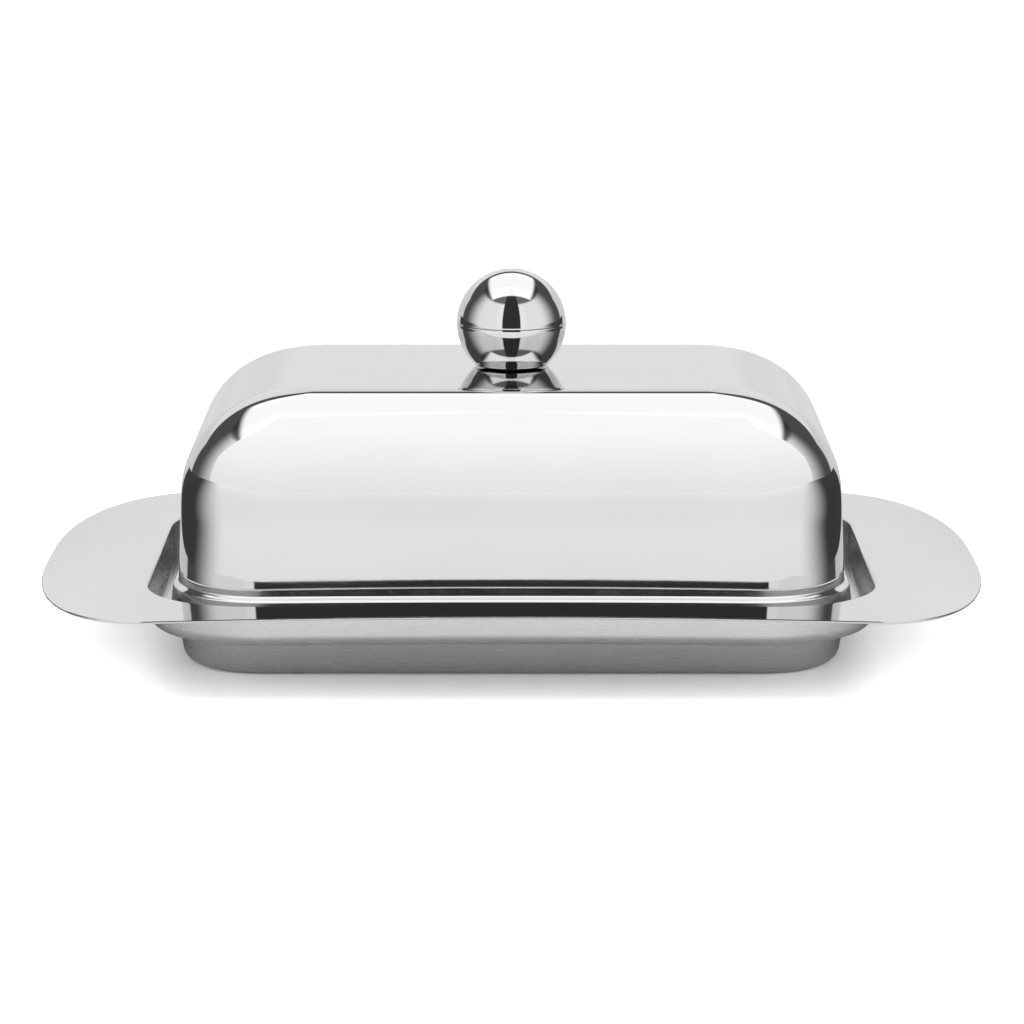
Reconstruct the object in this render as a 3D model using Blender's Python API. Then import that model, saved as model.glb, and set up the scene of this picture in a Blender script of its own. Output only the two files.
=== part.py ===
"""Steel butter dish: a pressed tray with two wings, and a lid with a ball knob screwed to its top.

Metres, +Z up, +X along the dish. The origin is the middle of the tray's flat base.
"""

import math

import bmesh
import bpy
from mathutils import Vector

MM = 0.001

# Sheet and clearances
SHEET = 0.5 * MM
GAP = 0.3 * MM

# Tray
TRAY_HALF_LENGTH = 98.7 * MM
TRAY_HALF_DEPTH = 65.2 * MM
RIM_TOP = 17.9 * MM
RIM_SAG_PER_M = 0.2
WING_CORNER_X = 28.0 * MM
WING_CORNER_Y = 61.0 * MM
WING_POWER = 2.3
WELL_HALF_DEPTH = 53.8 * MM
LEDGE_TOP = 9.4 * MM
LEDGE_HALF_DEPTH = 53.0 * MM
TUB_HALF_DEPTH = 43.1 * MM
FLOOR_HALF_DEPTH = 41.7 * MM
WELL_LIP_RADIUS = 1.1 * MM
LEDGE_RADIUS = 2.4 * MM
TUB_LIP_RADIUS = 1.1 * MM
FLOOR_RADIUS = 3.0 * MM

# Horizontal sections are rounded rectangles. Those of one wall share their corner centres, (X, Y)
WELL_CENTRES = (50.2 * MM, 29.0 * MM)
TUB_CENTRES = (51.6 * MM, 26.0 * MM)
LID_CENTRES = (49.7 * MM, 24.8 * MM)

# Lid
FOOT_BOTTOM = LEDGE_TOP + 0.4 * MM
FOOT_HALF_DEPTH = 46.2 * MM
FOOT_TOP = 16.5 * MM
FOOT_TOP_HALF_DEPTH = 45.3 * MM
BEND_HEIGHT = 17.1 * MM
BEND_HALF_DEPTH = 44.2 * MM
SHOULDER_HALF_DEPTH = 43.5 * MM
SHOULDER_HEIGHT = 32.5 * MM
LID_TOP = 57.2 * MM
LID_CROWN = 0.1 * MM
END_CURVE = 25.6 * MM
END_CURVE_BULGE = (2.0, 2.35)
FRONT_CURVE = 16.0 * MM
FRONT_CURVE_HEIGHT = 20.0 * MM
TOP_CORNER_RADIUS = 5.0 * MM
CROWN_RINGS = (0.6, 0.25)

# Knob, a hollow ball in two pressed halves, flat underneath
BALL_RADIUS = 11.6 * MM
BALL_FLAT_RADIUS = 7.6 * MM
BALL_BOTTOM = LID_TOP + LID_CROWN + GAP
BALL_CENTRE = BALL_BOTTOM + math.sqrt(BALL_RADIUS**2 - BALL_FLAT_RADIUS**2)
SEAM_ABOVE_CENTRE = 0.2 * MM
LIP_HEIGHT = 1.6 * MM

# Fastener, an M4 screw from inside the lid into a nut inside the ball
SCREW_RADIUS = 2.0 * MM
HOLE_RADIUS = SCREW_RADIUS + GAP
HEAD_RADIUS = 3.6 * MM
HEAD_HEIGHT = 2.2 * MM
SCREW_EDGE = 0.5 * MM
RECESS_LENGTH = 4.2 * MM
RECESS_WIDTH = 1.0 * MM
RECESS_DEPTH = 1.2 * MM
SCREW_REACH = 4.6 * MM
WASHER_RADIUS = 5.0 * MM
WASHER_THICKNESS = 0.8 * MM
NUT_ACROSS_FLATS = 7.0 * MM
NUT_HEIGHT = 3.2 * MM

CORNER_STEPS = 6
LONG_SIDE_STEPS = 6
SHORT_SIDE_STEPS = 2
FILLET_STEPS = 3
CURVE_STEPS = 10
BALL_UPPER_STEPS = 8
BALL_LOWER_STEPS = 6
ROUND_STEPS = 28
NUT_STEPS = 24
SMOOTH_BELOW = math.radians(35)

POLISHED = ((0.80, 0.80, 0.81), 0.07)
SATIN = ((0.72, 0.72, 0.73), 0.22)
PLAIN = ((0.60, 0.60, 0.61), 0.35)


def clear_scene():
    for obj in list(bpy.data.objects):
        bpy.data.objects.remove(obj)


def material(name, look):
    colour, roughness = look
    made = bpy.data.materials.new(name)
    made.use_nodes = True
    shader = made.node_tree.nodes["Principled BSDF"]
    shader.inputs["Base Color"].default_value = (*colour, 1)
    shader.inputs["Metallic"].default_value = 1
    shader.inputs["Roughness"].default_value = roughness
    return made


def add_object(name, bm, look, parent=None):
    """Turns the bmesh into a named object whose faces point out."""
    if bm.calc_volume(signed=True) < 0:
        bmesh.ops.reverse_faces(bm, faces=bm.faces)
    mesh = bpy.data.meshes.new(name)
    bm.to_mesh(mesh)
    bm.free()
    mesh.shade_smooth()
    mesh.set_sharp_from_angle(angle=SMOOTH_BELOW)
    mesh.materials.append(material(name + "_steel", look))
    obj = bpy.data.objects.new(name, mesh)
    obj.parent = parent
    bpy.context.scene.collection.objects.link(obj)
    return obj


def rounded_outline(half_x, half_y, corner_x, corner_y, power=2.0):
    """Anticlockwise points of a rectangle whose corners are quarters of a superellipse."""
    points = []
    for quarter in range(4):
        sign_x = 1 if quarter in (0, 3) else -1
        sign_y = 1 if quarter in (0, 1) else -1
        corner = []
        for step in range(CORNER_STEPS + 1):
            angle = math.pi / 2 * step / CORNER_STEPS
            x = half_x - corner_x + corner_x * max(math.cos(angle), 0) ** (2 / power)
            y = half_y - corner_y + corner_y * math.sin(angle) ** (2 / power)
            corner.append(Vector((sign_x * x, sign_y * y)))
        if quarter % 2:
            corner.reverse()
        points.extend(corner)
        steps = LONG_SIDE_STEPS if quarter % 2 == 0 else SHORT_SIDE_STEPS
        ends = ((half_x - corner_x) * sign_x, (half_y - corner_y) * sign_y)
        start = corner[-1]
        finish = Vector((-ends[0], start.y)) if quarter % 2 == 0 else Vector((start.x, -ends[1]))
        points.extend(start.lerp(finish, step / steps) for step in range(1, steps))
    return points


def section(half_depth, centres):
    """Outline of a wall at one height: a rounded rectangle about its corner centres."""
    radius = half_depth - centres[1]
    return rounded_outline(centres[0] + radius, half_depth, radius, radius)


def sag(x, share):
    """How far the sheet droops towards the wing tips; share is 1 at the rim and 0 at the floor."""
    return RIM_SAG_PER_M * x * x * share


def loft(bm, rings, close_start=False, close_end=False):
    """Joins each ring of vertices to the next with quads, and closes the ends with one face each."""
    made = [[bm.verts.new(point) for point in ring] for ring in rings]
    for lower, upper in zip(made, made[1:]):
        count = len(lower)
        for i in range(count):
            bm.faces.new((lower[i], lower[(i + 1) % count], upper[(i + 1) % count], upper[i]))
    if close_start:
        bm.faces.new(reversed(made[0]))
    if close_end:
        bm.faces.new(made[-1])
    return made


def filleted(corners):
    """A polyline through (across, height, radius) corners, each turned into an arc of its radius."""
    points = [Vector(corners[0][:2])]
    for before, corner, after in zip(corners, corners[1:], corners[2:]):
        at = Vector(corner[:2])
        back = (Vector(before[:2]) - at).normalized()
        ahead = (Vector(after[:2]) - at).normalized()
        half = back.angle(ahead) / 2
        radius = corner[2]
        centre = at + (back + ahead).normalized() * radius / math.sin(half)
        start = (at + back * radius / math.tan(half) - centre).normalized()
        finish = (at + ahead * radius / math.tan(half) - centre).normalized()
        for step in range(FILLET_STEPS + 1):
            points.append(centre + start.slerp(finish, step / FILLET_STEPS) * radius)
    points.append(Vector(corners[-1][:2]))
    return points


def offset_line(points, distance):
    """The same polyline moved sideways by a distance, to the right of its direction."""
    moved = []
    for i, point in enumerate(points):
        before = point - points[max(i - 1, 0)]
        after = points[min(i + 1, len(points) - 1)] - point
        normals = [Vector((d.y, -d.x)).normalized() for d in (before, after) if d.length > 0]
        normal = (normals[0] + normals[-1]).normalized()
        moved.append(point + normal * distance / normal.dot(normals[0]))
    return moved


def tray():
    """One pressed sheet: arched rim with wings, well wall, ledge for the lid, lower tub and flat floor."""
    well = filleted([
        (WELL_HALF_DEPTH + 2 * WELL_LIP_RADIUS, RIM_TOP, 0),
        (WELL_HALF_DEPTH, RIM_TOP, WELL_LIP_RADIUS),
        (LEDGE_HALF_DEPTH, LEDGE_TOP, LEDGE_RADIUS),
        (LEDGE_HALF_DEPTH - 2 * LEDGE_RADIUS, LEDGE_TOP, 0),
    ])
    tub = filleted([
        (TUB_HALF_DEPTH + 2 * TUB_LIP_RADIUS, LEDGE_TOP, 0),
        (TUB_HALF_DEPTH, LEDGE_TOP, TUB_LIP_RADIUS),
        (FLOOR_HALF_DEPTH, SHEET, FLOOR_RADIUS),
        (FLOOR_HALF_DEPTH - 2 * FLOOR_RADIUS, SHEET, 0),
    ])
    outline = rounded_outline(
        TRAY_HALF_LENGTH, TRAY_HALF_DEPTH, WING_CORNER_X, WING_CORNER_Y, WING_POWER
    )

    def ring(points, height):
        share = max(height - SHEET, 0) / (RIM_TOP - SHEET)
        return [(p.x, p.y, height - sag(p.x, share)) for p in points]

    def skin(depth):
        """Rings of the sheet's face this far below its top one, from the rim's edge to the floor."""
        lip = section(well[0].x, WELL_CENTRES)
        middle = [a.lerp(b, 0.5) for a, b in zip(outline, lip)]
        rings = [ring(outline, RIM_TOP - depth), ring(middle, RIM_TOP - depth)]
        rings += [ring(section(p.x, WELL_CENTRES), p.y) for p in offset_line(well, -depth)]
        return rings + [ring(section(p.x, TUB_CENTRES), p.y) for p in offset_line(tub, -depth)]

    bm = bmesh.new()
    rings = skin(0)[::-1] + skin(SHEET)
    loft(bm, rings, close_start=True, close_end=True)
    return add_object("tray", bm, SATIN)


def lid_sections():
    """(half length, half depth, corner radius, height) of the lid's outer face, foot first."""
    rows = []
    for half_depth, height in (
        (FOOT_HALF_DEPTH, FOOT_BOTTOM),
        (FOOT_TOP_HALF_DEPTH, FOOT_TOP),
        (BEND_HALF_DEPTH, BEND_HEIGHT),
        (SHOULDER_HALF_DEPTH, SHOULDER_HEIGHT),
    ):
        radius = half_depth - LID_CENTRES[1]
        rows.append((LID_CENTRES[0] + radius, half_depth, radius, height))
    side_length, _, side_radius, _ = rows[-1]
    along, up = END_CURVE_BULGE
    for step in range(1, CURVE_STEPS + 1):
        angle = math.pi / 2 * step / CURVE_STEPS
        height = SHOULDER_HEIGHT + (LID_TOP - SHOULDER_HEIGHT) * math.sin(angle) ** (2 / up)
        half_length = side_length - END_CURVE * (1 - max(math.cos(angle), 0) ** (2 / along))
        into_front = max(height - (LID_TOP - FRONT_CURVE_HEIGHT), 0) / FRONT_CURVE_HEIGHT
        inset = FRONT_CURVE * (1 - math.sqrt(max(1 - into_front**2, 0)))
        half_depth = SHOULDER_HALF_DEPTH - inset
        share = step / CURVE_STEPS
        radius = side_radius + (TOP_CORNER_RADIUS - side_radius) * share
        rows.append((half_length, half_depth, radius, height))
    return rows


def lid_shell(parent):
    """Pressed dome with a small outward skirt that stands on the tray's ledge, and a hole for the screw."""
    rows = lid_sections()
    rings = []
    for half_length, half_depth, radius, height in rows:
        share = (LEDGE_TOP - SHEET) / (RIM_TOP - SHEET) * (LID_TOP - height) / (LID_TOP - FOOT_BOTTOM)
        outline = rounded_outline(half_length, half_depth, radius, radius)
        rings.append([(p.x, p.y, height - sag(p.x, share)) for p in outline])
    edge = rings[-1]
    for across in CROWN_RINGS:
        crown = LID_CROWN * (1 - across**2)
        rings.append([(x * across, y * across, LID_TOP + crown) for x, y, _ in edge])
    hole = []
    for x, y, _ in edge:
        direction = Vector((x, y)).normalized() * HOLE_RADIUS
        hole.append((direction.x, direction.y, LID_TOP + LID_CROWN))
    rings.append(hole)
    bm = bmesh.new()
    loft(bm, rings)
    obj = add_object("lid_shell", bm, POLISHED, parent)
    sheet = obj.modifiers.new("sheet", "SOLIDIFY")
    sheet.thickness = SHEET
    sheet.offset = -1
    sheet.use_even_offset = True
    return obj


def turned(name, profile, look, parent, steps=ROUND_STEPS):
    """A ring-shaped solid turned about the Z axis from a closed (radius, height) outline."""
    bm = bmesh.new()
    angles = [2 * math.pi * i / steps for i in range(steps)]
    made = [
        [bm.verts.new((r * math.cos(a), r * math.sin(a), z)) for r, z in profile] for a in angles
    ]
    count = len(profile)
    for i, column in enumerate(made):
        following = made[(i + 1) % steps]
        for j in range(count):
            k = (j + 1) % count
            bm.faces.new((column[j], following[j], following[k], column[k]))
    return add_object(name, bm, look, parent)


def ball_arc(radius, low, high, steps):
    """(radius, height) points of the ball's profile between two heights above its centre."""
    first = math.asin(low / radius)
    last = math.asin(high / radius)
    angles = [first + (last - first) * i / steps for i in range(steps + 1)]
    return [(radius * math.cos(a), BALL_CENTRE + radius * math.sin(a)) for a in angles]


def knob_upper_shell(parent):
    """Upper half of the ball, a thin cup that closes over the lower half's lip."""
    seam = SEAM_ABOVE_CENTRE
    outer = ball_arc(BALL_RADIUS, seam, BALL_RADIUS, BALL_UPPER_STEPS)
    inner = ball_arc(BALL_RADIUS - SHEET, seam, BALL_RADIUS - SHEET, BALL_UPPER_STEPS)
    bm = bmesh.new()
    angles = [2 * math.pi * i / ROUND_STEPS for i in range(ROUND_STEPS)]

    def ring(radius, height):
        return [(radius * math.cos(a), radius * math.sin(a), height) for a in angles]

    rings = [ring(r, z) for r, z in inner[-2::-1]] + [ring(r, z) for r, z in outer[:-1]]
    made = loft(bm, rings)
    for ends, height in ((made[0][::-1], BALL_RADIUS - SHEET), (made[-1], BALL_RADIUS)):
        pole = bm.verts.new((0, 0, BALL_CENTRE + height))
        for i, vert in enumerate(ends):
            bm.faces.new((vert, ends[(i + 1) % ROUND_STEPS], pole))
    return add_object("knob_upper_shell", bm, POLISHED, parent)


def knob_lower_shell(parent):
    """Lower half of the ball: flat underneath with the screw's hole, and a lip inside the upper half."""
    seam = SEAM_ABOVE_CENTRE - GAP
    low = BALL_BOTTOM - BALL_CENTRE
    lip = BALL_RADIUS - SHEET - GAP
    outer = ball_arc(BALL_RADIUS, low, seam, BALL_LOWER_STEPS)
    inner = ball_arc(BALL_RADIUS - SHEET, low + SHEET, seam - SHEET, BALL_LOWER_STEPS)
    seam_height = BALL_CENTRE + seam
    profile = [(HOLE_RADIUS, BALL_BOTTOM)] + outer
    profile += [(lip, seam_height), (lip, seam_height + LIP_HEIGHT)]
    profile += [(lip - SHEET, seam_height + LIP_HEIGHT), (lip - SHEET, seam_height)]
    profile += inner[::-1] + [(HOLE_RADIUS, BALL_BOTTOM + SHEET)]
    return turned("knob_lower_shell", profile, POLISHED, parent)


def knob_nut(parent):
    """Hexagon nut held inside the ball's flat bottom."""
    low = BALL_BOTTOM + SHEET + GAP
    corner = NUT_ACROSS_FLATS / math.sqrt(3)
    bm = bmesh.new()

    def ring(radius_at, height):
        angles = [2 * math.pi * i / NUT_STEPS for i in range(NUT_STEPS)]
        return [(radius_at(a) * math.cos(a), radius_at(a) * math.sin(a), height) for a in angles]

    def hexagon(angle):
        within = (angle % (math.pi / 3)) - math.pi / 6
        return corner * math.cos(math.pi / 6) / math.cos(within)

    def bore(_):
        return HOLE_RADIUS

    high = low + NUT_HEIGHT
    rings = [ring(bore, low), ring(hexagon, low), ring(hexagon, high), ring(bore, high)]
    made = loft(bm, rings)
    for i in range(NUT_STEPS):
        k = (i + 1) % NUT_STEPS
        bm.faces.new((made[-1][i], made[-1][k], made[0][k], made[0][i]))
    return add_object("knob_nut", bm, PLAIN, parent)


def washer_bottom():
    return LID_TOP + LID_CROWN - SHEET - GAP - WASHER_THICKNESS


def screw_washer(parent):
    """Flat washer between the screw's head and the lid."""
    low = washer_bottom()
    high = low + WASHER_THICKNESS
    profile = [(HOLE_RADIUS, low), (WASHER_RADIUS, low), (WASHER_RADIUS, high), (HOLE_RADIUS, high)]
    return turned("screw_washer", profile, PLAIN, parent)


def recess_cutter(parent, name, turn):
    """One bar of the cross recess in the screw's head."""
    bm = bmesh.new()
    bmesh.ops.create_cube(bm, size=1)
    bmesh.ops.scale(bm, vec=(RECESS_LENGTH, RECESS_WIDTH, 2 * RECESS_DEPTH), verts=bm.verts)
    cutter = add_object(name, bm, PLAIN, parent)
    cutter.location.z = washer_bottom() - GAP - HEAD_HEIGHT
    cutter.rotation_euler.z = turn
    cutter.hide_render = True
    cutter.display_type = "WIRE"
    return cutter


def knob_screw(parent):
    """Pan-head screw: head inside the lid, shank up through washer, lid and ball into the nut."""
    top = washer_bottom() - GAP
    low = top - HEAD_HEIGHT
    reach = LID_TOP + LID_CROWN + SCREW_REACH
    profile = [
        (HEAD_RADIUS - 2 * SCREW_EDGE, low),
        (HEAD_RADIUS - SCREW_EDGE / 2, low + SCREW_EDGE),
        (HEAD_RADIUS, low + 2 * SCREW_EDGE),
        (HEAD_RADIUS, top),
        (SCREW_RADIUS, top),
        (SCREW_RADIUS, reach - SCREW_EDGE),
        (SCREW_RADIUS - SCREW_EDGE, reach),
    ]
    bm = bmesh.new()
    angles = [2 * math.pi * i / ROUND_STEPS for i in range(ROUND_STEPS)]
    rings = [[(r * math.cos(a), r * math.sin(a), z) for a in angles] for r, z in profile]
    loft(bm, rings, close_start=True, close_end=True)
    obj = add_object("knob_screw", bm, PLAIN, parent)
    for name, turn in (("recess_along", 0), ("recess_across", math.pi / 2)):
        cut = obj.modifiers.new(name, "BOOLEAN")
        cut.operation = "DIFFERENCE"
        cut.object = recess_cutter(parent, name, turn)
    return obj


def main():
    clear_scene()
    tray()
    lid_axis = bpy.data.objects.new("lid_axis", None)
    bpy.context.scene.collection.objects.link(lid_axis)
    lid_shell(lid_axis)
    knob_lower_shell(lid_axis)
    knob_upper_shell(lid_axis)
    knob_nut(lid_axis)
    screw_washer(lid_axis)
    knob_screw(lid_axis)


main()
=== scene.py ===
"""Looks of the steel butter dish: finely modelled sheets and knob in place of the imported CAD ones, steel
finishes, a white table and a soft studio. Metres, +Z up, +X along the dish, the camera on the -Y side.
"""

import math

import bmesh
import bpy
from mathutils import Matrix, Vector


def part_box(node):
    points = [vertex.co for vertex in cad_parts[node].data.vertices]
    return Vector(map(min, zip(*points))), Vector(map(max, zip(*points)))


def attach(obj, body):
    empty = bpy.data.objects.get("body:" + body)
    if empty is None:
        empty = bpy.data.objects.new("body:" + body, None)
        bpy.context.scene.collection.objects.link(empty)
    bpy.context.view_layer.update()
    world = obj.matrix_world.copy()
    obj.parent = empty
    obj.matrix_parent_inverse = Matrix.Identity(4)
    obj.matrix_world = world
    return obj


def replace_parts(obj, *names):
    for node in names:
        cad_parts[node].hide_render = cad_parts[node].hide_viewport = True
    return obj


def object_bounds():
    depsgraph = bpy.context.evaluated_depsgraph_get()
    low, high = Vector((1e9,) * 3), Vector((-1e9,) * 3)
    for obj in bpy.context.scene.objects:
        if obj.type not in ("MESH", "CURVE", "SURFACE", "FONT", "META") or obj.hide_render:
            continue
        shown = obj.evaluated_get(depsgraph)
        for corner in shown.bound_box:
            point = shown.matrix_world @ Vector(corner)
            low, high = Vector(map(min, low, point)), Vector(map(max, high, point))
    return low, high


MM = 0.001
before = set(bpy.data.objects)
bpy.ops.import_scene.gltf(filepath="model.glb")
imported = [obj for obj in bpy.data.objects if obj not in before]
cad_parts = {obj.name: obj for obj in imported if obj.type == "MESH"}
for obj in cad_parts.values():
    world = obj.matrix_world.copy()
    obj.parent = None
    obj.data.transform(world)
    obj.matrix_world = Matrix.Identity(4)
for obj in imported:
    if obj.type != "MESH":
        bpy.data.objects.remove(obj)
cad_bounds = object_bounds()
tray_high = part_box("tray")[1]
lid_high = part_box("lid_shell")[1]
ball_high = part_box("knob_upper_shell")[1]
cup_low, cup_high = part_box("knob_lower_shell")

# Sheet: thickness, play between pieces, and softening of a cut edge
SHEET = 0.5 * MM
GAP = 0.3 * MM
EDGE = 0.12 * MM

# Tray, as in the CAD but for a sharper lip
TRAY_HALF_LENGTH = tray_high.x
TRAY_HALF_DEPTH = tray_high.y
RIM_TOP = 17.9 * MM
RIM_SAG_PER_M = 0.2
WING_CORNER = (28.0 * MM, 61.0 * MM)
WING_POWER = 2.3
WELL_HALF_DEPTH = 53.8 * MM
LEDGE_TOP = 9.4 * MM
LEDGE_HALF_DEPTH = 53.0 * MM
TUB_HALF_DEPTH = 43.1 * MM
FLOOR_HALF_DEPTH = 41.7 * MM
WELL_LIP_RADIUS = 0.7 * MM
LEDGE_RADIUS = 2.4 * MM
TUB_LIP_RADIUS = 1.1 * MM
FLOOR_RADIUS = 3.0 * MM
WELL_CENTRES = (50.2 * MM, 29.0 * MM)
TUB_CENTRES = (51.6 * MM, 26.0 * MM)

# Lid, as in the CAD but for the foot's rounded bends
LID_CENTRES = (49.7 * MM, 24.8 * MM)
LID_CROWN = 0.1 * MM
LID_TOP = lid_high.z - LID_CROWN
FOOT_BOTTOM = LEDGE_TOP + 0.4 * MM
FOOT_HALF_DEPTH = 46.2 * MM
FOOT_TOP = 16.5 * MM
FOOT_TOP_HALF_DEPTH = 45.3 * MM
FOOT_TOP_RADIUS = 0.6 * MM
BEND_HEIGHT = 17.1 * MM
BEND_HALF_DEPTH = 44.2 * MM
BEND_RADIUS = 0.4 * MM
SHOULDER_HALF_DEPTH = 43.5 * MM
SHOULDER_HEIGHT = 32.5 * MM
END_CURVE = 25.6 * MM
END_CURVE_BULGE = (2.0, 2.35)
FRONT_CURVE = 16.0 * MM
FRONT_CURVE_HEIGHT = 20.0 * MM
TOP_CORNER_RADIUS = 5.0 * MM
HOLE_RADIUS = 2.3 * MM

# Knob, as in the CAD but for a finer seam and a rounded lower edge
BALL_RADIUS = ball_high.x
BALL_CENTRE = ball_high.z - BALL_RADIUS
BALL_BOTTOM = cup_low.z
SEAM_ABOVE_CENTRE = 0.2 * MM
SEAM_LINE = 0.05 * MM
SEAM_BEVEL = 0.12 * MM
SEAM_BEVEL_ROUNDING = 0.3
LIP_TOP = cup_high.z
BOTTOM_ROUND = 0.45 * MM
BOTTOM_ROUND_REACH = 1.5

# Fineness of the meshes
RIM_EDGE_SHARES = [0, 0.004, 0.03]
RIM_STEPS = 16
CORNER_STEPS = 36
LONG_SIDE_STEPS = 56
SHORT_SIDE_STEPS = 24
FILLET_STEPS = 9
FLOOR_SHARES = (0.8, 0.5, 0.2)
FOOT_STEPS = 8
END_CURVE_STEPS = 48
TOP_STEPS = 20
TOP_REACH = 0.87
ROW_SPACING = 0.7 * MM
ROW_SMOOTHING = 5
ROUND_STEPS = 144
UPPER_BALL_STEPS = (56, 40)
LOWER_BALL_STEPS = (48, 32)
BOTTOM_ROUND_STEPS = 7

# Rings at which a sheet's outer face looks up
RIM_RING = 2
LID_TOP_RING = -4

# Angles over which an edge is shaded sharp, in degrees
SHEET_SHARP = 50
KNOB_SHARP = 35

# Steel: scale of each feature of the surface, per metre, and the stretch of the wipes
FINE_LINES = 260
DEEP_LINES = 90
CLOUDS = 38
WIPES = 30
LUMPS = 16
WIPE_STRETCH = (1, 6, 2)

# Studio: brightness of each surface. PANEL_FAR and PANEL_TOP are the shares of the side panels' brightness
# that are left at their far end and at their top.
BACKDROP = 0.80
BACKDROP_TONES = (-0.08, 0.06)
OVERHEAD = 1.30
SIDE_PANELS = 1.0
PANEL_FAR = 0.05
PANEL_TOP = 0.15
PANEL_STRIPS = 0.08
STUDIO_DARK = 0.04
STUDIO_SEEN = 1.1

# Studio: soft edges, each between two values. AWAY is in degrees round the Z axis from the camera's side, UP
# in degrees over the horizon; the others are on a level plane one unit above. OVERHEAD_NARROWING is how far
# the softbox's side edge comes in for each unit of depth.
OVERHEAD_SIDE = (0.62, 0.78)
OVERHEAD_NARROWING = 0.12
OVERHEAD_FRONT = (-0.44, -0.38)
OVERHEAD_BACK = (1.10, 1.20)
BACKDROP_AWAY = (124, 128)
BACKDROP_DEPTH = (1.50, 1.60)
GAP_AWAY = (18.5, 20)
PANEL_AWAY = (66, 112)
PANEL_UP = (45, 50)
STRIP_AWAY = (31, 32)
STRIP_UP = (45, 47)

# The backdrop's two tones meet at a line that rises from the middle to the sides; angles in degrees
TONE_LINE_UP = 9.7
TONE_LINE_RISE = 0.27
TONE_LINE_EDGE = (-0.8, 0.8)
TONES_FROM_MIDDLE = (5, 8)

# Table. AWAY is in degrees round the Z axis from the camera's side; FRONT, SIZE, FAR and PAST are in metres.
TABLE_FRONT = -0.55
TABLE_SIZE = 9.0
TABLE_ROUGHNESS = 0.9
# Painted shade on the table as the steel mirrors it: darker near the dish (TABLE_WHITE, rising to
# TABLE_WHITE_FAR over TABLE_FAR) and towards both sides (TABLE_SIDE over TABLE_AWAY), lighter again behind
# (TABLE_BACK)
TABLE_WHITE = 0.91
TABLE_WHITE_FAR = 1.02
TABLE_FAR = (0.15, 0.55)
TABLE_AWAY = (56, 96)
TABLE_SIDE = 0.05
TABLE_BACK_AWAY = (134, 138)
TABLE_BACK = 0.66
TABLE_OVEREXPOSED = 1.75
# Painted light: emission the camera sees on the table under the wings, past the ends of the tub, lightening
# its shadow there
TABLE_PAINTED_LIGHT = 0.33
TABLE_PAINTED_LIGHT_PAST = (0.064, 0.080)

# Table lights: name, turn round the Z axis from the camera's side, and energy
TABLE_LIGHTS = (("left_light", -90, 1.3), ("right_light", 90, 1.3))
TABLE_LIGHT_TILT = 68
TABLE_LIGHT_SPREAD = 70

# Card. CARD_LEVELS are wanted at the two heights of CARD_UP as LID_FACE sees them, and fade to CARD_SIDE
# over CARD_AWAY; heights and turns are in degrees.
LID_FACE = (0, -0.035, 0.05)
CARD_DISTANCE = 80.0
CARD_WIDTH = 900.0
CARD_HEIGHT = 240.0
CARD_LOW = -12.0
CARD_LEVELS = (1.08, 1.34)
CARD_UP = (-8, 56)
CARD_AWAY = (75, 127)
CARD_SIDE = 0.04
# A light's shader counts the first reflection as a ray depth of 2, and the second as 3
FIRST_REFLECTION = 2.5
# An area light of energy 1 W has a radiance of 1 / (pi * area) at strength 1
CARD_GAIN = math.pi * CARD_WIDTH * CARD_HEIGHT

# Camera: lens in millimetres, tilt in degrees below level
LENS = 140.5
EYE = (0.00012, -0.8354, 0.1983)
EYE_TILT = 11.683


# Meshes


def rounded_outline(half_x, half_y, corner_x, corner_y, power=2.0):
    """Anticlockwise points of a rectangle whose corners are quarters of a superellipse."""
    points = []
    for quarter in range(4):
        sign_x = 1 if quarter in (0, 3) else -1
        sign_y = 1 if quarter in (0, 1) else -1
        corner = []
        for step in range(CORNER_STEPS + 1):
            angle = math.pi / 2 * step / CORNER_STEPS
            x = half_x - corner_x + corner_x * max(math.cos(angle), 0) ** (2 / power)
            y = half_y - corner_y + corner_y * math.sin(angle) ** (2 / power)
            corner.append(Vector((sign_x * x, sign_y * y)))
        if quarter % 2:
            corner.reverse()
        points.extend(corner)
        steps = LONG_SIDE_STEPS if quarter % 2 == 0 else SHORT_SIDE_STEPS
        ends = ((half_x - corner_x) * sign_x, (half_y - corner_y) * sign_y)
        start = corner[-1]
        finish = Vector((-ends[0], start.y)) if quarter % 2 == 0 else Vector((start.x, -ends[1]))
        points.extend(start.lerp(finish, step / steps) for step in range(1, steps))
    return points


def section(half_depth, centres):
    radius = half_depth - centres[1]
    return rounded_outline(centres[0] + radius, half_depth, radius, radius)


def sag(x, share):
    return RIM_SAG_PER_M * x * x * share


def filleted(corners):
    """A polyline through (across, height, radius) corners, each turned into an arc of its radius."""
    points = [Vector(corners[0][:2])]
    for before, corner, after in zip(corners, corners[1:], corners[2:]):
        at = Vector(corner[:2])
        back = (Vector(before[:2]) - at).normalized()
        ahead = (Vector(after[:2]) - at).normalized()
        half = back.angle(ahead) / 2
        radius = corner[2]
        centre = at + (back + ahead).normalized() * radius / math.sin(half)
        start = (at + back * radius / math.tan(half) - centre).normalized()
        finish = (at + ahead * radius / math.tan(half) - centre).normalized()
        for step in range(FILLET_STEPS + 1):
            points.append(centre + start.slerp(finish, step / FILLET_STEPS) * radius)
    points.append(Vector(corners[-1][:2]))
    return points


def resampled(points, spacing):
    """The same polyline with points this far apart."""
    lengths = [0.0]
    for a, b in zip(points, points[1:]):
        lengths.append(lengths[-1] + (b - a).length)
    count = max(2, round(lengths[-1] / spacing))
    found = []
    at = 0
    for i in range(count + 1):
        want = lengths[-1] * i / count
        while at < len(points) - 2 and lengths[at + 1] < want:
            at += 1
        share = (want - lengths[at]) / max(lengths[at + 1] - lengths[at], 1e-12)
        found.append(points[at].lerp(points[at + 1], min(share, 1)))
    return found


def smoothed(points, rounds):
    for _ in range(rounds):
        inner = [(a + 2 * b + c) / 4 for a, b, c in zip(points, points[1:], points[2:])]
        points = [points[0]] + inner + [points[-1]]
    return points


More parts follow.
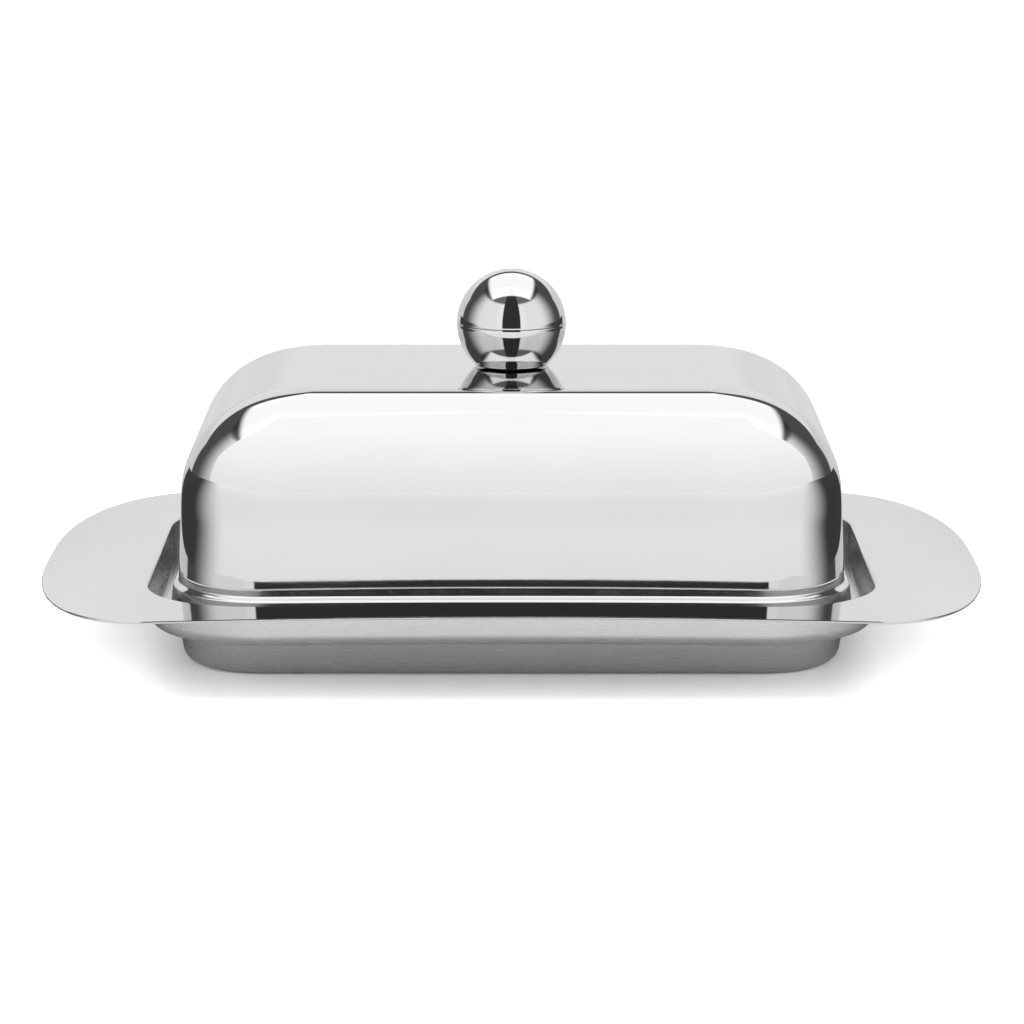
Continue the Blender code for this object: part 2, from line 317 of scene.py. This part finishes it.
def normals_of(rings):
    """Unit normal at each point of a grid of closed rings."""
    last = len(rings) - 1
    count = len(rings[0])
    found = []
    for i, ring in enumerate(rings):
        row = []
        for j in range(count):
            along = ring[(j + 1) % count] - ring[j - 1]
            across = rings[min(i + 1, last)][j] - rings[max(i - 1, 0)][j]
            row.append(along.cross(across).normalized())
        found.append(row)
    return found


def add_object(name, bm, materials, body, sharp):
    mesh = bpy.data.meshes.new(name)
    bm.normal_update()
    bm.to_mesh(mesh)
    bm.free()
    for each in materials:
        mesh.materials.append(each)
    mesh.shade_smooth()
    mesh.set_sharp_from_angle(angle=math.radians(sharp))
    obj = bpy.data.objects.new(name, mesh)
    bpy.context.scene.collection.objects.link(obj)
    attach(obj, body)
    return obj


def loft(rings, materials, closed):
    """Quads between neighbouring rings, wrapped round to the first ring or else capped at both ends."""
    bm = bmesh.new()
    made = [[bm.verts.new(point) for point in ring] for ring in rings]
    rows = list(zip(made, made[1:]))
    if closed:
        rows.append((made[-1], made[0]))
    else:
        bm.faces.new(reversed(made[0])).material_index = materials[0]
        bm.faces.new(made[-1]).material_index = materials[-1]
    for (lower, upper), material in zip(rows, materials):
        for i in range(len(lower)):
            k = (i + 1) % len(lower)
            bm.faces.new((lower[i], lower[k], upper[k], upper[i])).material_index = material
    face_out(bm)
    return bm


def face_out(bm):
    if bm.calc_volume(signed=True) < 0:
        bmesh.ops.reverse_faces(bm, faces=bm.faces)


def under(top, level_ring):
    """Rings SHEET behind a sheet's outer rings, along their normals. level_ring is one that looks up."""
    normals = normals_of(top)
    side = SHEET if normals[level_ring][0].z > 0 else -SHEET
    return [[p - normal * side for p, normal in zip(ring, row)] for ring, row in zip(top, normals)]


def lip_share(step):
    """How far from the rim's cut edge to the well's lip a step lies."""
    return RIM_EDGE_SHARES[-1] + (1 - RIM_EDGE_SHARES[-1]) * step / RIM_STEPS


def tray_top_rings():
    """Rings of the tray's upper face, from the cut edge over the rim, the well, the ledge and the tub."""
    well = filleted([
        (WELL_HALF_DEPTH + 2 * WELL_LIP_RADIUS, RIM_TOP, 0),
        (WELL_HALF_DEPTH, RIM_TOP, WELL_LIP_RADIUS),
        (LEDGE_HALF_DEPTH, LEDGE_TOP, LEDGE_RADIUS),
        (LEDGE_HALF_DEPTH - 2 * LEDGE_RADIUS, LEDGE_TOP, 0),
    ])
    tub = filleted([
        (TUB_HALF_DEPTH + 2 * TUB_LIP_RADIUS, LEDGE_TOP, 0),
        (TUB_HALF_DEPTH, LEDGE_TOP, TUB_LIP_RADIUS),
        (FLOOR_HALF_DEPTH, SHEET, FLOOR_RADIUS),
        (FLOOR_HALF_DEPTH - 2 * FLOOR_RADIUS, SHEET, 0),
    ])
    outline = rounded_outline(TRAY_HALF_LENGTH, TRAY_HALF_DEPTH, *WING_CORNER, WING_POWER)

    def ring(points, height):
        share = max(height - SHEET, 0) / (RIM_TOP - SHEET)
        return [Vector((p.x, p.y, height - sag(p.x, share))) for p in points]

    lip = section(well[0].x, WELL_CENTRES)
    shares = RIM_EDGE_SHARES + [lip_share(k) for k in range(1, RIM_STEPS)]
    rings = [ring([a.lerp(b, share) for a, b in zip(outline, lip)], RIM_TOP) for share in shares]
    rings += [ring(section(p.x, WELL_CENTRES), p.y) for p in well]
    ledge_end, tub_start = rings[-1], ring(section(tub[0].x, TUB_CENTRES), tub[0].y)
    rings.append([a.lerp(b, 0.5) for a, b in zip(ledge_end, tub_start)])
    rings += [ring(section(p.x, TUB_CENTRES), p.y) for p in tub]
    inner = rings[-1]
    for share in FLOOR_SHARES:
        rings.append([Vector((p.x * share, p.y * share, SHEET)) for p in inner])
    return rings


def tray(rim_steel, under_steel, well_steel):
    """One pressed sheet with a softened cut edge: a polished rim and lip, a finer satin in the well."""
    top = tray_top_rings()
    bottom = under(top, RIM_RING)
    for ring in bottom:
        for point in ring:
            point.z = max(point.z, 0.0)
    outward = [(a - b).normalized() for a, b in zip(top[0], top[RIM_RING])]
    edge_high = [p - Vector((0, 0, EDGE)) for p in top[0]]
    edge_low = [p - Vector((0, 0, SHEET - EDGE)) for p in top[0]]
    top[0] = [p - out * EDGE for p, out in zip(top[0], outward)]
    bottom[0] = [p - out * EDGE for p, out in zip(bottom[0], outward)]
    rings = top[::-1] + [edge_high, edge_low] + bottom
    rim_rows = len(RIM_EDGE_SHARES) + RIM_STEPS + FILLET_STEPS
    materials = [2] * (len(top) - rim_rows) + [0] * rim_rows + [1] * (len(bottom) + 1)
    bm = loft(rings, materials, closed=False)
    steels = [rim_steel, under_steel, well_steel]
    obj = add_object("tray_sheet", bm, steels, "tray", SHEET_SHARP)
    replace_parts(obj, "tray")


def lid_rows():
    """(half length, half depth, corner radius, height) of the lid's outer face, foot first, to the hole."""

    def row(half_depth, height):
        radius = half_depth - LID_CENTRES[1]
        return Vector((LID_CENTRES[0] + radius, half_depth, radius, height))

    foot = filleted([
        (FOOT_HALF_DEPTH, FOOT_BOTTOM, 0),
        (FOOT_TOP_HALF_DEPTH, FOOT_TOP, FOOT_TOP_RADIUS),
        (BEND_HALF_DEPTH, BEND_HEIGHT, BEND_RADIUS),
        (SHOULDER_HALF_DEPTH, SHOULDER_HEIGHT, 0),
    ])
    skirt = [foot[0].lerp(foot[1], step / FOOT_STEPS) for step in range(FOOT_STEPS)] + foot[1:-1]
    side = row(*foot[-1])
    rows = [row(*foot[-2]), side]
    along, up = END_CURVE_BULGE
    for step in range(1, END_CURVE_STEPS + 1):
        angle = math.pi / 2 * step / END_CURVE_STEPS
        height = SHOULDER_HEIGHT + (LID_TOP - SHOULDER_HEIGHT) * math.sin(angle) ** (2 / up)
        half_length = side[0] - END_CURVE * (1 - max(math.cos(angle), 0) ** (2 / along))
        into_front = max(height - (LID_TOP - FRONT_CURVE_HEIGHT), 0) / FRONT_CURVE_HEIGHT
        inset = FRONT_CURVE * (1 - math.sqrt(max(1 - into_front**2, 0)))
        radius = side[2] + (TOP_CORNER_RADIUS - side[2]) * step / END_CURVE_STEPS
        rows.append(Vector((half_length, SHOULDER_HALF_DEPTH - inset, radius, height)))
    edge = rows[-1]
    for step in range(1, TOP_STEPS + 1):
        across = 1 - TOP_REACH * step / TOP_STEPS
        crown = LID_CROWN * (1 - across**2)
        rows.append(Vector((edge[0] * across, edge[1] * across, edge[2] * across, LID_TOP + crown)))
    rows = smoothed(resampled(rows, ROW_SPACING), ROW_SMOOTHING)
    return [row(*point) for point in skirt[:-1]] + rows


def lid(outer_steel, inner_steel):
    """One pressed sheet, open below, with the screw's hole in its top."""
    top = []
    for half_length, half_depth, radius, height in lid_rows():
        share = (LEDGE_TOP - SHEET) / (RIM_TOP - SHEET) * (LID_TOP - height) / (LID_TOP - FOOT_BOTTOM)
        outline = rounded_outline(half_length, half_depth, radius, radius)
        top.append([Vector((p.x, p.y, height - sag(p.x, max(share, 0)))) for p in outline])
    hole = []
    for point in top[-1]:
        spoke = Vector((point.x, point.y)).normalized() * HOLE_RADIUS
        hole.append(Vector((spoke.x, spoke.y, LID_TOP + LID_CROWN)))
    top.append(hole)
    bottom = under(top, LID_TOP_RING)
    bm = loft(top + bottom[::-1], [0] * len(top) + [1] * len(bottom), closed=True)
    obj = add_object("lid_sheet", bm, [outer_steel, inner_steel], "lid", SHEET_SHARP)
    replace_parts(obj, "lid_shell")
    return obj


def turned(name, profile, steel):
    """A solid turned about the Z axis from a closed outline of (radius, height) points."""
    bm = bmesh.new()
    columns = []
    for i in range(ROUND_STEPS):
        angle = 2 * math.pi * i / ROUND_STEPS
        columns.append([bm.verts.new((r * math.cos(angle), r * math.sin(angle), z)) for r, z in profile])
    for i, column in enumerate(columns):
        following = columns[(i + 1) % ROUND_STEPS]
        for j in range(len(profile)):
            k = (j + 1) % len(profile)
            bm.faces.new((column[j], following[j], following[k], column[k]))
    bmesh.ops.remove_doubles(bm, verts=bm.verts, dist=1e-7)
    bmesh.ops.dissolve_degenerate(bm, edges=bm.edges, dist=1e-8)
    face_out(bm)
    return add_object(name, bm, [steel], "lid", KNOB_SHARP)


def ball_arc(radius, low, high, steps):
    """Points of a circle round the ball's centre, between two heights over that centre."""
    first = math.asin(max(low / radius, -1))
    last = math.asin(min(high / radius, 1))
    angles = [first + (last - first) * i / steps for i in range(steps + 1)]
    return [(radius * math.cos(a), BALL_CENTRE + radius * math.sin(a)) for a in angles]


def knob_upper(steel):
    """The ball's upper shell, with a softened edge at the seam."""
    seam = SEAM_ABOVE_CENTRE
    outer = ball_arc(BALL_RADIUS, seam + SEAM_BEVEL, BALL_RADIUS, UPPER_BALL_STEPS[0])
    inner = ball_arc(BALL_RADIUS - SHEET, seam, BALL_RADIUS - SHEET, UPPER_BALL_STEPS[1])
    height = BALL_CENTRE + seam
    edge = [
        (BALL_RADIUS - SEAM_BEVEL, height),
        (BALL_RADIUS - SEAM_BEVEL * SEAM_BEVEL_ROUNDING, height + SEAM_BEVEL * SEAM_BEVEL_ROUNDING),
    ]
    profile = edge + outer[:-1] + [(0, outer[-1][1]), (0, inner[-1][1])] + inner[-2::-1]
    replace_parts(turned("knob_upper", profile, steel), "knob_upper_shell")


def knob_lower(steel):
    """The ball's lower shell: a flat bottom with the screw's hole, and a lip inside the upper shell."""
    seam = SEAM_ABOVE_CENTRE - SEAM_LINE
    low = BALL_BOTTOM - BALL_CENTRE
    lip = BALL_RADIUS - SHEET - GAP
    outer = ball_arc(BALL_RADIUS, low + BOTTOM_ROUND, seam - SEAM_BEVEL, LOWER_BALL_STEPS[0])
    inner = ball_arc(BALL_RADIUS - SHEET, low + SHEET, seam - SHEET, LOWER_BALL_STEPS[1])
    height = BALL_CENTRE + seam
    flat = outer[0][0] - BOTTOM_ROUND_REACH * BOTTOM_ROUND
    profile = [(HOLE_RADIUS, BALL_BOTTOM), (flat, BALL_BOTTOM)]
    for step in range(1, BOTTOM_ROUND_STEPS):
        angle = math.pi / 2 * step / BOTTOM_ROUND_STEPS
        across = flat + (outer[0][0] - flat) * math.sin(angle)
        profile.append((across, BALL_BOTTOM + BOTTOM_ROUND * (1 - math.cos(angle))))
    profile += outer
    profile += [
        (BALL_RADIUS - SEAM_BEVEL * SEAM_BEVEL_ROUNDING, height - SEAM_BEVEL * SEAM_BEVEL_ROUNDING),
        (BALL_RADIUS - SEAM_BEVEL, height),
    ]
    profile += [(lip, height), (lip, LIP_TOP), (lip - SHEET, LIP_TOP), (lip - SHEET, height)]
    profile += inner[::-1] + [(HOLE_RADIUS, BALL_BOTTOM + SHEET)]
    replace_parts(turned("knob_lower", profile, steel), "knob_lower_shell")


# Materials


class Nodes:
    """Short calls for adding nodes to one tree."""

    def __init__(self, tree):
        self.tree = tree

    def add(self, kind, inputs=None, **settings):
        node = self.tree.nodes.new(kind)
        for key, value in settings.items():
            setattr(node, key, value)
        for key, value in (inputs or {}).items():
            if isinstance(value, bpy.types.NodeSocket):
                self.tree.links.new(value, node.inputs[key])
            else:
                node.inputs[key].default_value = value
        return node

    def math(self, operation, a, b=0.0, c=0.0):
        return self.add("ShaderNodeMath", {0: a, 1: b, 2: c}, operation=operation).outputs[0]

    def product(self, first, *others):
        for other in others:
            first = self.math("MULTIPLY", first, other)
        return first

    def ramp(self, value, low, high, to_low=0.0, to_high=1.0, smooth=True):
        kind = "SMOOTHSTEP" if smooth else "LINEAR"
        node = self.add(
            "ShaderNodeMapRange",
            {"Value": value, "From Min": low, "From Max": high, "To Min": to_low, "To Max": to_high},
            interpolation_type=kind,
        )
        return node.outputs["Result"]

    def turn(self, angle, edge, to_low=0.0, to_high=1.0):
        """A ramp between the two angles of an edge, in degrees."""
        return self.ramp(angle, math.radians(edge[0]), math.radians(edge[1]), to_low, to_high)

    def noise(self, vector, scale, stretch=(1, 1, 1), detail=4.0, rough=0.55):
        mapped = self.add("ShaderNodeMapping", {"Vector": vector, "Scale": stretch})
        noise = self.add(
            "ShaderNodeTexNoise",
            {"Vector": mapped.outputs[0], "Scale": scale, "Detail": detail, "Roughness": rough},
        )
        return noise.outputs["Fac"]


def steel(name, colour, rough, brush, brush_depth, wave_depth=0.0, smudge=0.02):
    """Steel with fine grinding lines along one axis, faint smudges and a slight unevenness of the sheet.

    brush is the stretch of the lines: large across them and small along them.
    """
    made = bpy.data.materials.new(name)
    made.use_nodes = True
    n = Nodes(made.node_tree)
    shader = made.node_tree.nodes["Principled BSDF"]
    shader.inputs["Metallic"].default_value = 1
    at = n.add("ShaderNodeTexCoord").outputs["Object"]
    lines = n.noise(at, FINE_LINES, brush, detail=3.0, rough=0.7)
    deep_lines = n.noise(at, DEEP_LINES, brush, detail=2.0)
    clouds = n.noise(at, CLOUDS, detail=3.0)
    lumps = n.noise(at, LUMPS, detail=1.0)
    wipe = n.noise(at, WIPES, WIPE_STRETCH, detail=2.0)
    smear = n.ramp(clouds, 0.45, 0.75, 0, smudge)
    smear = n.math("ADD", smear, n.ramp(lines, 0.3, 0.7, -0.15 * rough, 0.15 * rough))
    total = n.math("ADD", n.math("MAXIMUM", smear, -0.6 * rough), rough)
    n.tree.links.new(total, shader.inputs["Roughness"])
    stain = n.math("MULTIPLY", n.math("ADD", clouds, wipe), 0.5)
    tone = n.ramp(stain, 0.35, 0.65, 0.985, 1.01)
    tinted = n.add("ShaderNodeVectorMath", {0: colour, "Scale": tone}, operation="SCALE")
    n.tree.links.new(tinted.outputs[0], shader.inputs["Base Color"])
    normal = None
    for height, depth in ((lines, brush_depth), (deep_lines, 1.5 * brush_depth), (lumps, wave_depth)):
        bump = n.add("ShaderNodeBump", {"Height": height, "Strength": 1.0, "Distance": depth})
        if normal:
            n.tree.links.new(normal, bump.inputs["Normal"])
        normal = bump.outputs[0]
    n.tree.links.new(normal, shader.inputs["Normal"])
    return made


# Table, studio and camera


def studio_level(n, way):
    """Brightness of the studio towards a direction, given by its X, Y and Z outputs, and its two angles.

    away is the angle round the Z axis from the camera's side, and up the one over the horizon.
    side and depth are where the direction meets a level plane one unit above.
    """
    away = n.math("ABSOLUTE", n.math("ARCTAN2", way["X"], n.math("MULTIPLY", way["Y"], -1)))
    up = n.math("ARCSINE", way["Z"])
    over = n.math("MAXIMUM", way["Z"], 0.02)
    side = n.math("ABSOLUTE", n.math("DIVIDE", way["X"], over))
    depth = n.math("DIVIDE", way["Y"], over)

    overhead = n.product(
        n.ramp(n.math("MULTIPLY_ADD", depth, OVERHEAD_NARROWING, side), *OVERHEAD_SIDE, 1, 0),
        n.ramp(depth, *OVERHEAD_FRONT),
        n.ramp(depth, *OVERHEAD_BACK, 1, 0),
    )
    off_middle = n.math("SUBTRACT", math.pi, away)
    line = n.math("MULTIPLY_ADD", off_middle, TONE_LINE_RISE, math.radians(TONE_LINE_UP))
    tones = n.turn(n.math("SUBTRACT", up, line), TONE_LINE_EDGE, *BACKDROP_TONES)
    tone = n.math("MULTIPLY_ADD", tones, n.turn(off_middle, TONES_FROM_MIDDLE), BACKDROP)
    behind = n.product(n.turn(away, BACKDROP_AWAY), n.ramp(depth, *BACKDROP_DEPTH), tone)

    gap = n.turn(away, GAP_AWAY)
    panels = n.product(gap, n.turn(away, PANEL_AWAY, 1, PANEL_FAR), n.turn(up, PANEL_UP, 1, PANEL_TOP))
    strips = n.product(gap, n.turn(away, STRIP_AWAY, 1, 0), n.turn(up, STRIP_UP, 1, 0))

    total = n.math("ADD", behind, STUDIO_DARK)
    total = n.math("MULTIPLY_ADD", overhead, OVERHEAD, total)
    total = n.math("MULTIPLY_ADD", panels, SIDE_PANELS, total)
    return n.math("MULTIPLY_ADD", strips, PANEL_STRIPS, total), away, up


def studio():
    """White background behind, a softbox overhead, a panel on each side, and dark gaps between them."""
    world = bpy.data.worlds.new("studio")
    bpy.context.scene.world = world
    world.use_nodes = True
    n = Nodes(world.node_tree)
    way = n.add("ShaderNodeSeparateXYZ", {0: n.add("ShaderNodeTexCoord").outputs["Generated"]}).outputs
    level = studio_level(n, way)[0]
    seen = n.product(n.add("ShaderNodeLightPath").outputs["Is Camera Ray"], STUDIO_SEEN)
    back = world.node_tree.nodes["Background"]
    n.tree.links.new(n.math("MAXIMUM", level, seen), back.inputs["Strength"])
    back.inputs["Color"].default_value = (1, 1, 1, 1)


def lid_card(lid_piece):
    """White card in front, far off, which only the lid mirrors: it adds what the studio leaves out there."""
    lamp = bpy.data.lights.new("lid_card", "AREA")
    lamp.shape = "RECTANGLE"
    lamp.size = CARD_WIDTH
    lamp.size_y = CARD_HEIGHT
    lamp.energy = 1
    lamp.use_nodes = True
    n = Nodes(lamp.node_tree)
    at = n.add("ShaderNodeNewGeometry").outputs["Position"]
    ray = n.add("ShaderNodeVectorMath", {0: at, 1: LID_FACE}, operation="SUBTRACT").outputs[0]
    ray = n.add("ShaderNodeVectorMath", {0: ray}, operation="NORMALIZE").outputs[0]
    level, away, up = studio_level(n, n.add("ShaderNodeSeparateXYZ", {0: ray}).outputs)
    low, high = (math.radians(angle) for angle in CARD_UP)
    wanted = n.product(
        n.ramp(up, low, high, *CARD_LEVELS, smooth=False), n.turn(away, CARD_AWAY, 1, CARD_SIDE)
    )
    missing = n.math("MAXIMUM", n.math("SUBTRACT", wanted, level), 0)
    depth = n.add("ShaderNodeLightPath").outputs["Ray Depth"]
    first = n.math("LESS_THAN", depth, FIRST_REFLECTION)
    emission = lamp.node_tree.nodes["Emission"]
    n.tree.links.new(n.product(missing, first, CARD_GAIN), emission.inputs["Strength"])
    obj = bpy.data.objects.new("lid_card", lamp)
    obj.location = (0, -CARD_DISTANCE, CARD_LOW + CARD_HEIGHT / 2)
    obj.rotation_euler.x = math.radians(90)
    obj.visible_camera = False
    bpy.context.scene.collection.objects.link(obj)
    receivers = bpy.data.collections.new("card_receivers")
    receivers.objects.link(lid_piece)
    obj.light_linking.receiver_collection = receivers


def floor():
    """White table. The camera sees it overexposed; the steel mirrors it with painted shade, darker towards
    both sides and near the dish, and the camera sees painted light under the wings.
    """
    bm = bmesh.new()
    front = [(-TABLE_SIZE, TABLE_FRONT, 0), (TABLE_SIZE, TABLE_FRONT, 0)]
    back = [(TABLE_SIZE, TABLE_SIZE, 0), (-TABLE_SIZE, TABLE_SIZE, 0)]
    bm.faces.new([bm.verts.new(point) for point in front + back])
    mesh = bpy.data.meshes.new("table")
    bm.to_mesh(mesh)
    bm.free()
    white = bpy.data.materials.new("white_table")
    white.use_nodes = True
    n = Nodes(white.node_tree)
    shader = white.node_tree.nodes["Principled BSDF"]
    place = n.add("ShaderNodeTexCoord").outputs["Object"]
    at = n.add("ShaderNodeSeparateXYZ", {0: place}).outputs
    # Painted shade: as the steel mirrors it, the table is darker towards both sides, lighter again behind,
    # and darker near the dish
    away = n.math("ABSOLUTE", n.math("ARCTAN2", at["X"], n.math("MULTIPLY", at["Y"], -1)))
    painted_side_shade = n.math(
        "MAXIMUM", n.turn(away, TABLE_AWAY, 1, TABLE_SIDE), n.turn(away, TABLE_BACK_AWAY, 0, TABLE_BACK)
    )
    radius = n.add("ShaderNodeVectorMath", {0: place}, operation="LENGTH").outputs["Value"]
    mirrored_painted_shade = n.product(painted_side_shade, n.ramp(radius, *TABLE_FAR, TABLE_WHITE, TABLE_WHITE_FAR))
    seen = n.add("ShaderNodeLightPath").outputs["Is Camera Ray"]
    level = n.ramp(seen, 0, 1, mirrored_painted_shade, TABLE_OVEREXPOSED, smooth=False)
    colour = n.add("ShaderNodeCombineColor", {0: level, 1: level, 2: level}).outputs[0]
    n.tree.links.new(colour, shader.inputs["Base Color"])
    # Painted light: emission, seen by the camera only, under the wings past the ends of the tub, that
    # lightens the table's shadow there
    painted_light_past_tub = n.ramp(n.math("ABSOLUTE", at["X"]), *TABLE_PAINTED_LIGHT_PAST)
    n.tree.links.new(n.product(painted_light_past_tub, seen, TABLE_PAINTED_LIGHT), shader.inputs["Emission Strength"])
    shader.inputs["Emission Color"].default_value = (1, 1, 1, 1)
    shader.inputs["Roughness"].default_value = TABLE_ROUGHNESS
    shader.inputs["Specular IOR Level"].default_value = 0
    mesh.materials.append(white)
    obj = bpy.data.objects.new("table", mesh)
    obj.location.z = cad_bounds[0][2]
    bpy.context.scene.collection.objects.link(obj)


def table_lights():
    """Soft light for the table alone; the steel mirrors the softboxes and the table instead."""
    for name, turn, energy in TABLE_LIGHTS:
        lamp = bpy.data.lights.new(name, "SUN")
        lamp.energy = energy
        lamp.angle = math.radians(TABLE_LIGHT_SPREAD)
        obj = bpy.data.objects.new(name, lamp)
        obj.rotation_euler = (math.radians(TABLE_LIGHT_TILT), 0, math.radians(turn))
        obj.visible_glossy = False
        bpy.context.scene.collection.objects.link(obj)


# Arguments: colour, roughness, stretch of the lines, depths of lines and waves in metres, smudges
mirror = steel("mirror_steel", (0.70, 0.70, 0.705), 0.045, (0.6, 0.6, 7), 0.4e-6, 25e-6)
knob_mirror = steel("knob_mirror_steel", (0.70, 0.70, 0.705), 0.045, (1, 1, 6), 0.3e-6, 0.0, 0.01)
rim_mirror = steel("rim_steel", (0.70, 0.70, 0.705), 0.055, (0.8, 6, 0.8), 0.15e-6)
satin = steel("satin_steel", (0.66, 0.66, 0.665), 0.27, (0.4, 0.4, 16), 0.2e-6, 0.0, 0.02)
well_steel = steel("well_steel", (0.60, 0.60, 0.605), 0.20, (0.8, 6, 0.8), 0.15e-6, 0.0, 0.03)
inside = steel("inner_steel", (0.68, 0.68, 0.685), 0.20, (0.5, 6, 3), 2.0e-6, 10e-6, 0.05)
fastener = steel("fastener_steel", (0.58, 0.58, 0.585), 0.28, (1, 1, 5), 3.0e-6, 0.0, 0.06)

tray(rim_mirror, satin, well_steel)
lid_piece = lid(mirror, inside)
knob_upper(knob_mirror)
knob_lower(knob_mirror)
for name in ("knob_nut", "knob_screw", "screw_washer"):
    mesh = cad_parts[name].data
    mesh.materials.clear()
    mesh.materials.append(fastener)

floor()
studio()
table_lights()
lid_card(lid_piece)

view = bpy.context.scene.view_settings
view.view_transform = "Standard"
view.look = "None"
camera = bpy.data.cameras.new("camera")
camera.lens = LENS
camera.sensor_width = 36
camera.clip_start = 0.05
camera.clip_end = 50
eye = bpy.data.objects.new("camera", camera)
eye.location = EYE
eye.rotation_euler = (math.radians(90 - EYE_TILT), 0, 0)
bpy.context.scene.collection.objects.link(eye)
bpy.context.scene.camera = eye
